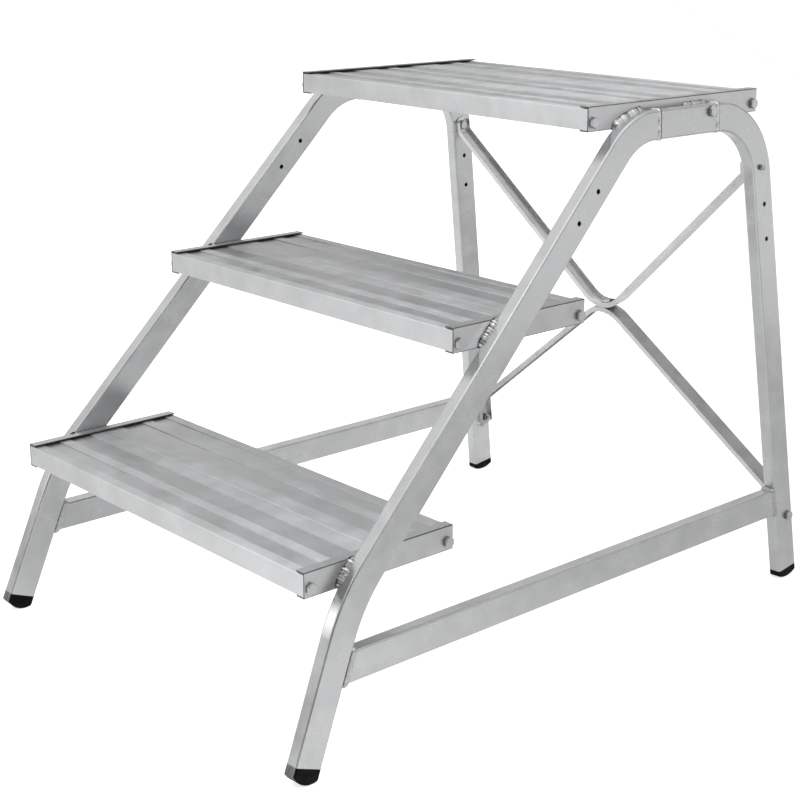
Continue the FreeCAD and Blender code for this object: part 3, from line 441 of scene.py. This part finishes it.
def strut_bead(shape, side, reach, lean, onto):
    """Bead all round the end of a lower strut: a flat band on its sides, full in the corners over and under it."""
    whole = 2 * (tube_width + tube_depth) - (8 - 2 * math.pi) * tube_corner
    stations = []
    for run in lengths(0.0, whole)[:-1]:
        place, facing = tube_rim(run)
        reach_here = reach + onto * strut_set + place.z * math.tan(lean)
        place = Vector((side * place.x, reach_here, place.z - strut_drop))
        facing.x *= side
        full, smut_and_shade = drop(1.0 + run, 3.0, 0.001)
        height = strut_height + strut_fill * facing.z ** 2
        across = Vector((0, onto * strut_reach * (0.7 + 0.3 * full), 0))
        station = bead_station(place, across, facing * height * full, 0.0006)
        # The band is a little darker all over, and its edge against the leg carries painted shade with soot.
        stations.append((side_place(side) @ station, 0.26 + 0.15 * smut_and_shade, 0.4, 0.25))
    lay_bead(shape, stations, band_cut, closed=True)


def weld_finish():
    """Bright cast aluminium, a little uneven, with dark marks where its attribute says so: weld soot, and painted
    shade in the corners and between the ripples.
    """
    material, tree, shader = new_material("weld_bead")
    shader["Metallic"].default_value = 1.0
    pits = noise(tree, object_place(tree), 420.0, 3.0)
    smut_and_shade = tree.nodes.new("ShaderNodeAttribute")
    smut_and_shade.attribute_name = "soot_and_shade"
    amount = calc(tree, "MULTIPLY_ADD", pits, 0.5, smut_and_shade.outputs["Fac"])
    tone = ramp(tree, amount, (0.3, (0.78, 0.785, 0.79)), (1.0, (0.05, 0.05, 0.052)))
    feed(tree, tone, shader["Base Color"])
    feed(tree, rescale(tree, amount, 0.0, 1.0, 0.18, 0.6), shader["Roughness"])
    relief(tree, pits, 0.4, 0.0004)
    return material


def new_piece(name, shape, material, slot, *nodes):
    """Makes a finished piece of a shape; it stands for CAD nodes and rides on the object's one body."""
    bmesh.ops.recalc_face_normals(shape, faces=shape.faces)
    for face in shape.faces:
        face.smooth = True
    mesh = bpy.data.meshes.new(name)
    shape.to_mesh(mesh)
    shape.free()
    mesh.materials.append(material)
    piece = bpy.data.objects.new(name, mesh)
    bpy.context.scene.collection.objects.link(piece)
    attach(piece, "root")
    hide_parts(*nodes)
    return piece


step_webs = {"platform": 0.297, "middle_step": 0.307017, "lower_step": 0.317495}
web_spans = {"platform": (0.0120, 0.0785), "middle_step": (0.3845, 0.4300), "lower_step": (0.7340, 0.7760)}
weld_metal = weld_finish()
for hand, side in (("left", -1), ("right", 1)):
    beads = bmesh.new()
    beads.verts.layers.float.new("soot_and_shade")
    for step, web in step_webs.items():
        web_bead(beads, side, web, *web_spans[step])
    # The front joint's painted shadow line is the darker one.
    joint_bead(beads, side, 0.0, soot_and_shade=1.9)
    joint_bead(beads, side, rail_length, soot_and_shade=0.7)
    rail_bead(beads, side, step_webs["platform"])
    strut_bead(beads, side, strut_front, front_lean, 1)
    strut_bead(beads, side, strut_rear, -rear_lean, -1)
    new_piece(hand + "_weld_beads", beads, weld_metal, "weld", hand + "_frame_welds")


# Bolts and nuts: zinc-plated M8 hexagon screws, 13 mm across the flats. Short ones go through the
# channels' webs into the planks' screw ports; two long ones go through the top rails as well.
head_width, head_height, nut_height = 0.013, 0.0053, 0.0065
shank_radius, thread_root, thread_pitch = 0.004, 0.0034, 0.00125
face_radius, bearing_radius, bearing_height = 0.95 * head_width / 2, 0.0061, 0.0003
bore_mouth, chamfer = 0.0045, 0.0008
tip_radius, tip_chamfer = thread_root - 0.0005, 0.0004
round_sides = 36


def ring_edges(verts):
    """The edges of a ring of vertices."""
    return list({edge for vert in verts for edge in vert.link_edges})


def level_ring(shape, radius, height):
    """Edges of a circle about the bolt's axis."""
    verts = bmesh.ops.create_circle(shape, cap_ends=False, radius=radius, segments=round_sides)["verts"]
    bmesh.ops.translate(shape, vec=(0, 0, height), verts=verts)
    return ring_edges(verts)


def hexagon_ring(shape, height, end):
    """Edges of a hexagon whose corners drop away from its end as on a cone of 30 degrees."""
    verts = bmesh.ops.create_circle(shape, cap_ends=False, radius=1.0, segments=round_sides)["verts"]
    for vert in verts:
        from_flat = math.atan2(vert.co.y, vert.co.x) % (math.pi / 3) - math.pi / 6
        reach = head_width / 2 / math.cos(from_flat)
        fall = (reach - face_radius) * math.tan(math.pi / 6)
        vert.co = vert.co * reach + Vector((0, 0, height - end * fall))
    return ring_edges(verts)


def skin(shape, rings):
    """Joins each ring to the next."""
    for first, second in zip(rings, rings[1:]):
        bmesh.ops.bridge_loops(shape, edges=first + second)


def cut_thread(shape, start, turns):
    """A helical thread below a height, spun from the profile of one turn."""
    steps = 18
    profile = [shape.verts.new((radius, 0, start - share * thread_pitch))
               for radius, share in ((thread_root, 0), (shank_radius, 0.44), (shank_radius, 0.56), (thread_root, 1))]
    strokes = [shape.edges.new(pair) for pair in zip(profile, profile[1:])]
    bmesh.ops.spin(shape, geom=profile + strokes, cent=(0, 0, 0), axis=(0, 0, 1), angle=2 * math.pi * turns,
                   dvec=(0, 0, -thread_pitch / steps), steps=steps * turns, use_merge=False)


def as_pattern(name, shape):
    """Turns a shape into a mesh that can be put in many places."""
    mesh = bpy.data.meshes.new(name)
    shape.to_mesh(mesh)
    shape.free()
    return mesh


def hexagon_bolt(length, thread_turns=0):
    """A bolt along Z: head above the seat at the origin, shank below, threaded where its end shows."""
    shape = bmesh.new()
    top = level_ring(shape, face_radius, head_height)
    foot = [level_ring(shape, bearing_radius, bearing_height), level_ring(shape, bearing_radius, 0.0),
            level_ring(shape, shank_radius, 0.0)]
    thread_top = thread_turns * thread_pitch - length
    if thread_turns:
        tip = [level_ring(shape, shank_radius, thread_top), level_ring(shape, thread_root, thread_top),
               level_ring(shape, thread_root, tip_chamfer - length)]
    else:
        tip = [level_ring(shape, shank_radius, chamfer - length)]
    tip.append(level_ring(shape, tip_radius, -length))
    crown = hexagon_ring(shape, head_height, 1)
    under = hexagon_ring(shape, bearing_height, -1)
    skin(shape, [top, crown, under] + foot + tip)
    bmesh.ops.contextual_create(shape, geom=top)
    bmesh.ops.contextual_create(shape, geom=tip[-1])
    if thread_turns:
        cut_thread(shape, thread_top, thread_turns)
    bmesh.ops.remove_doubles(shape, verts=shape.verts, dist=0.00001)
    return as_pattern("bolt_pattern", shape)


def hexagon_nut():
    """A nut along Z on its seat at the origin: coned at both ends, countersunk bore."""
    shape = bmesh.new()
    rings = [level_ring(shape, shank_radius, chamfer), level_ring(shape, bore_mouth, 0.0),
             level_ring(shape, bearing_radius, 0.0)]
    rings += [hexagon_ring(shape, 0.0, -1), hexagon_ring(shape, nut_height, 1)]
    rings += [level_ring(shape, bearing_radius, nut_height), level_ring(shape, bore_mouth, nut_height),
              level_ring(shape, shank_radius, nut_height - chamfer)]
    skin(shape, rings + rings[:1])
    return as_pattern("nut_pattern", shape)


def put(shape, pattern, place):
    """Adds a copy of a pattern at a place."""
    count = len(shape.verts)
    shape.from_mesh(pattern)
    shape.verts.ensure_lookup_table()
    bmesh.ops.transform(shape, matrix=place, verts=shape.verts[count:])


def fasteners(name, pattern, places, *nodes):
    """One piece of like bolts or nuts, with crisp edges."""
    shape = bmesh.new()
    for place in places:
        put(shape, pattern, place)
    piece = new_piece(name, shape, zinc_plate, "zinc", *nodes)
    piece.data.set_sharp_from_angle(angle=math.radians(25))


def outward(side):
    """Turns an axis along Z to point out of the step's side."""
    return Matrix.Rotation(side * math.pi / 2, 4, "Y")


# Painted shade: a wide, strong occlusion darkening outlines the heads' and nuts' flanks next to the parts they hold.
zinc_plate = drawn_metal("zinc_plate", (0.6, 0.605, 0.612), (1, 0, 0), streak=0.004, rough=(0.2, 0.34),
                         edge=0.0002, comb=0.00012, pocket=0.012, corner_shade_range=(0.4, 0.95))
step_places = {"platform": (0.038652, 0.753, (0.009, 0.345)), "middle_step": (-0.205348, 0.503, (0.009, 0.227)),
               "lower_step": (-0.449348, 0.253, (0.009, 0.227))}
bolt_drop = 0.021
rail_seat, rail_inset = 0.317751, 0.227
short_shank, long_shank = 0.025, 0.045
short_places = []
for step, (front, top, insets) in step_places.items():
    for inset in insets:
        for side in (-1, 1):
            seat = Vector((side * step_webs[step], front + inset, top - bolt_drop))
            short_places.append(Matrix.Translation(seat) @ outward(side))
fasteners("tread_screws", hexagon_bolt(short_shank), short_places, "tread_bolts")
long_places = []
front, top, insets = step_places["platform"]
for side in (-1, 1):
    seat = Vector((side * rail_seat, front + rail_inset, top - bolt_drop))
    long_places.append(Matrix.Translation(seat) @ outward(side))
fasteners("rail_screws", hexagon_bolt(long_shank), long_places, "platform_rail_bolts")


# Crossed brace: two thin channels, bent round each other in the middle and bolted to the rear legs.
# The upper bolts go in from the inside; the lower ones and the middle one have nuts on threaded ends.
def shade_web(material, gain):
    """Paints shade on a strip's web, picked by the way its faces look, and leaves the lips, which face to the front
    and the rear, as they are.
    """
    tree = material.node_tree
    steep = calc(tree, "ABSOLUTE", axes(tree, surface_normal(tree))["Y"])
    tint(tree, rescale(tree, steep, 0.7, 0.4), gain)


brace_finish = {"streak": 0.02, "rough": (0.22, 0.32), "comb": 0.00001, "pocket": 0.001, "metal": 0.75}
brace_grey = (0.78, 0.785, 0.79)
finish_nodes(drawn_metal("brace_strip", brace_grey, (1, 0, 0), **brace_finish), "upper_brace")
lower_metal = drawn_metal("lower_brace_strip", brace_grey, (1, 0, 0), **brace_finish)
# Painted shade on the lower brace's web.
shade_web(lower_metal, gain=0.6)
finish_nodes(lower_metal, "lower_brace")
upper_tab = (0, rail_length + 0.101041, -0.079069)
lower_tab = (0, rail_length + 0.187420, -0.622546)
tab_face = tube_depth / 2 + 0.0021
grip = tube_depth / 2 + tab_face
bolt_spare, turns_shown = 0.004, 4
upper_places = []
lower_places = []
nut_places = []
for side in (-1, 1):
    upper = side_place(side) @ Matrix.Translation(upper_tab)
    lower = side_place(side) @ Matrix.Translation(lower_tab)
    inside = Matrix.Translation((-side * tab_face, 0, 0)) @ outward(-side)
    upper_places.append(upper @ inside)
    lower_places.append(lower @ Matrix.Translation((side * tube_depth / 2, 0, 0)) @ outward(side))
    nut_places.append(lower @ inside)
upper_bolt = hexagon_bolt(grip + bolt_spare, turns_shown)
lower_bolt = hexagon_bolt(grip + nut_height + bolt_spare, turns_shown)
fasteners("upper_brace_screws", upper_bolt, upper_places, "upper_brace_bolts")
fasteners("lower_brace_screws", lower_bolt, lower_places, "lower_brace_bolts")
fasteners("lower_brace_hex_nuts", hexagon_nut(), nut_places, "lower_brace_nuts")
crossing = (0, 0.423170, 0.376)
brace_tilt = math.radians(9.039)
centre_seat = 0.002029
centre = Matrix.Translation(crossing) @ Matrix.Rotation(brace_tilt, 4, "X")
middle_place = centre @ Matrix.Translation((0, 0, centre_seat))
under_place = centre @ Matrix.Translation((0, 0, -centre_seat)) @ Matrix.Rotation(math.pi, 4, "X")
centre_bolt = hexagon_bolt(2 * centre_seat + nut_height + bolt_spare, turns_shown)
fasteners("brace_centre_screw", centre_bolt, [middle_place], "brace_centre_bolt")
fasteners("brace_centre_hex_nut", hexagon_nut(), [under_place], "brace_centre_nut")


# Feet: black moulded plastic caps, pushed into the open tube ends and rounded underneath. The skin has
# a fine moulded grain; it is dusty near the floor, and the front feet's front faces carry a painted grey sheen,
# streaked like rub marks.
def dot(tree, vector, direction):
    """How far a vector points along a direction."""
    node = tree.nodes.new("ShaderNodeVectorMath")
    node.operation = "DOT_PRODUCT"
    node.inputs[1].default_value = direction
    feed(tree, vector, node.inputs[0])
    return node.outputs["Value"]


def moulded_plastic(name):
    """Black plastic with a moulded grain, dust towards the floor and a painted grey sheen on the front faces of the
    front feet.
    """
    material, tree, shader = new_material(name)
    shader["Specular IOR Level"].default_value = 0.07
    place = object_place(tree)
    spot = axes(tree, place)
    grain = noise(tree, place, 1400.0, 2.0)
    scuffs = noise(tree, place, 90.0, 6.0)
    low = rescale(tree, spot["Z"], 0.0, 0.012, 0.35, 0.0)
    dust = calc(tree, "ADD", low, scuffs)
    tone = ramp(tree, dust, (0.45, (0.004, 0.004, 0.0045)), (1.0, (0.02, 0.02, 0.021)))
    ahead = rescale(tree, dot(tree, surface_normal(tree), (0, -1, 0)), 0.75, 0.9)
    # Painted sheen: faces that look to the front, on the feet in front, turn grey in streaks.
    front_sheen = calc(tree, "MULTIPLY", ahead, calc(tree, "LESS_THAN", spot["Y"], 0.0))
    streak_scale = tree.nodes.new("ShaderNodeMapping")
    streak_scale.inputs["Scale"].default_value = (320.0, 40.0, 40.0)
    feed(tree, place, streak_scale.inputs["Vector"])
    marks = noise(tree, streak_scale.outputs["Vector"], 1.0, 4.0)
    sheen_grey = ramp(tree, marks, (0.3, (0.1, 0.1, 0.102)), (0.7, (0.3, 0.3, 0.305)))
    feed(tree, mix(tree, "RGBA", front_sheen, tone, sheen_grey), shader["Base Color"])
    feed(tree, rescale(tree, dust, 0.3, 0.9, 0.33, 0.6), shader["Roughness"])
    relief(tree, grain, 0.3, 0.0001, edge=0.0008)
    return material


foot_plastic = moulded_plastic("foot_plastic")
for hand in ("left", "right"):
    finish_nodes(foot_plastic, hand + "_front_foot", hand + "_rear_foot")


# Studio: a white sweep under a glowing ceiling, and the photographer's standpoint. The walls are grey and the
# ceiling is white; the camera's side of the room is dark and a patch high at the rear is dim; the left front
# is light but for a strip over a lamp.
scene = bpy.context.scene
scene.view_settings.view_transform = "Standard"
floor_size, floor_light_reach = 60.0, 5.0
floor_light_greys = ((0.08, 0.73), (0.2, 0.87), (0.33, 0.84), (0.45, 0.99), (0.54, 0.88), (0.6, 0.52),
              (0.71, 0.46), (0.77, 0.32), (0.85, 0.56), (0.93, 0.86))
room_greys = ((0.06, 0.17), (0.21, 0.56), (0.33, 0.76), (0.45, 0.78), (0.55, 0.95), (0.8, 1.0),
              (0.9, 1.3), (1.0, 1.4))
room_zones = (((0.70, -0.65, 0.28), 0.78, 0.94, 0.1), ((-0.75, -0.55, 0.36), 0.97, 0.99, 0.62),
              ((-0.73, -0.68, 0.05), 0.86, 0.98, 2.05), ((0.12, 0.71, 0.69), 0.9, 0.97, 0.45))
floor_glow, mirrored_share = 0.7, 0.3


def greys(tree, value, marks):
    """Greys a value by marks, which are positions and levels in order."""
    return ramp(tree, value, *[(position, (level, level, level)) for position, level in marks])


floor_mesh = bpy.data.meshes.new("floor")
floor_shape = bmesh.new()
bmesh.ops.create_grid(floor_shape, x_segments=1, y_segments=1, size=floor_size)
floor_shape.to_mesh(floor_mesh)
floor_shape.free()
floor = bpy.data.objects.new("floor", floor_mesh)
scene.collection.objects.link(floor)
floor_paint = bpy.data.materials.new("floor_paint")
floor_paint.use_nodes = True
tree = floor_paint.node_tree
tree.nodes.clear()
spot = axes(tree, object_place(tree))
# Painted light and shade: the floor's grey runs in bands across a diagonal, for what the metal reflects; the glow
# keeps it white to the camera.
span = rescale(tree, calc(tree, "ADD", spot["X"], spot["Y"]), -floor_light_reach, floor_light_reach)
paper = tree.nodes.new("ShaderNodeBsdfDiffuse")
feed(tree, greys(tree, span, floor_light_greys), paper.inputs["Color"])
rays = tree.nodes.new("ShaderNodeLightPath").outputs
seen = calc(tree, "ADD", rays["Is Camera Ray"], rays["Is Transmission Ray"])
mirrored = calc(tree, "MULTIPLY_ADD", rays["Is Glossy Ray"], mirrored_share, seen)
glow = tree.nodes.new("ShaderNodeEmission")
feed(tree, calc(tree, "MULTIPLY", mirrored, floor_glow), glow.inputs["Strength"])
both = tree.nodes.new("ShaderNodeAddShader")
feed(tree, paper.outputs["BSDF"], both.inputs[0])
feed(tree, glow.outputs["Emission"], both.inputs[1])
surface = tree.nodes.new("ShaderNodeOutputMaterial")
feed(tree, both.outputs["Shader"], surface.inputs["Surface"])
floor_mesh.materials.append(floor_paint)

air = bpy.data.worlds.new("studio_air")
scene.world = air
air.use_nodes = True
tree = air.node_tree
tree.nodes.clear()
around = tree.nodes.new("ShaderNodeTexCoord").outputs["Generated"]
level = greys(tree, axes(tree, around)["Z"], room_greys)
for direction, edge, middle, share in room_zones:
    zone = rescale(tree, dot(tree, around, direction), edge, middle, 1.0, share)
    level = calc(tree, "MULTIPLY", level, zone)
sky = tree.nodes.new("ShaderNodeBackground")
sky.inputs["Color"].default_value = (1.0, 1.0, 1.0, 1.0)
feed(tree, level, sky.inputs["Strength"])
out = tree.nodes.new("ShaderNodeOutputWorld")
feed(tree, sky.outputs["Background"], out.inputs["Surface"])


def soft_box(name, place, target, size, power):
    """A square studio lamp behind a diffuser, turned to a point."""
    lamp = bpy.data.lights.new(name, "AREA")
    lamp.size = size
    lamp.energy = power
    holder = bpy.data.objects.new(name, lamp)
    holder.location = place
    holder.rotation_euler = (Vector(target) - Vector(place)).to_track_quat("-Z", "Y").to_euler()
    scene.collection.objects.link(holder)


soft_box("low_lamp", (-2.26, -2.63, 0.89), (0.33, -0.39, 0.15), size=0.36, power=2.4)
soft_box("side_lamp", (2.7, -1.0, 3.0), (0, 0, 0.4), size=0.45, power=6.0)

camera_data = bpy.data.cameras.new("camera")
camera = bpy.data.objects.new("camera", camera_data)
scene.collection.objects.link(camera)
scene.camera = camera
standpoint = (1.72235, -1.53765, 1.00313)
azimuth = math.radians(47.325)
elevation = math.radians(14.812)
roll = math.radians(0.387)
level_reach = math.cos(elevation)
back = Vector((math.sin(azimuth) * level_reach, -math.cos(azimuth) * level_reach, math.sin(elevation)))
right = Vector((math.cos(azimuth), math.sin(azimuth), 0))
up = back.cross(right)
right, up = right * math.cos(roll) + up * math.sin(roll), up * math.cos(roll) - right * math.sin(roll)
camera.matrix_world = Matrix.Translation(standpoint) @ Matrix((right, up, back)).transposed().to_4x4()
camera_data.lens = 73.98
camera_data.sensor_width = 36.0
camera_data.shift_x = -0.0464
camera_data.shift_y = -0.0762
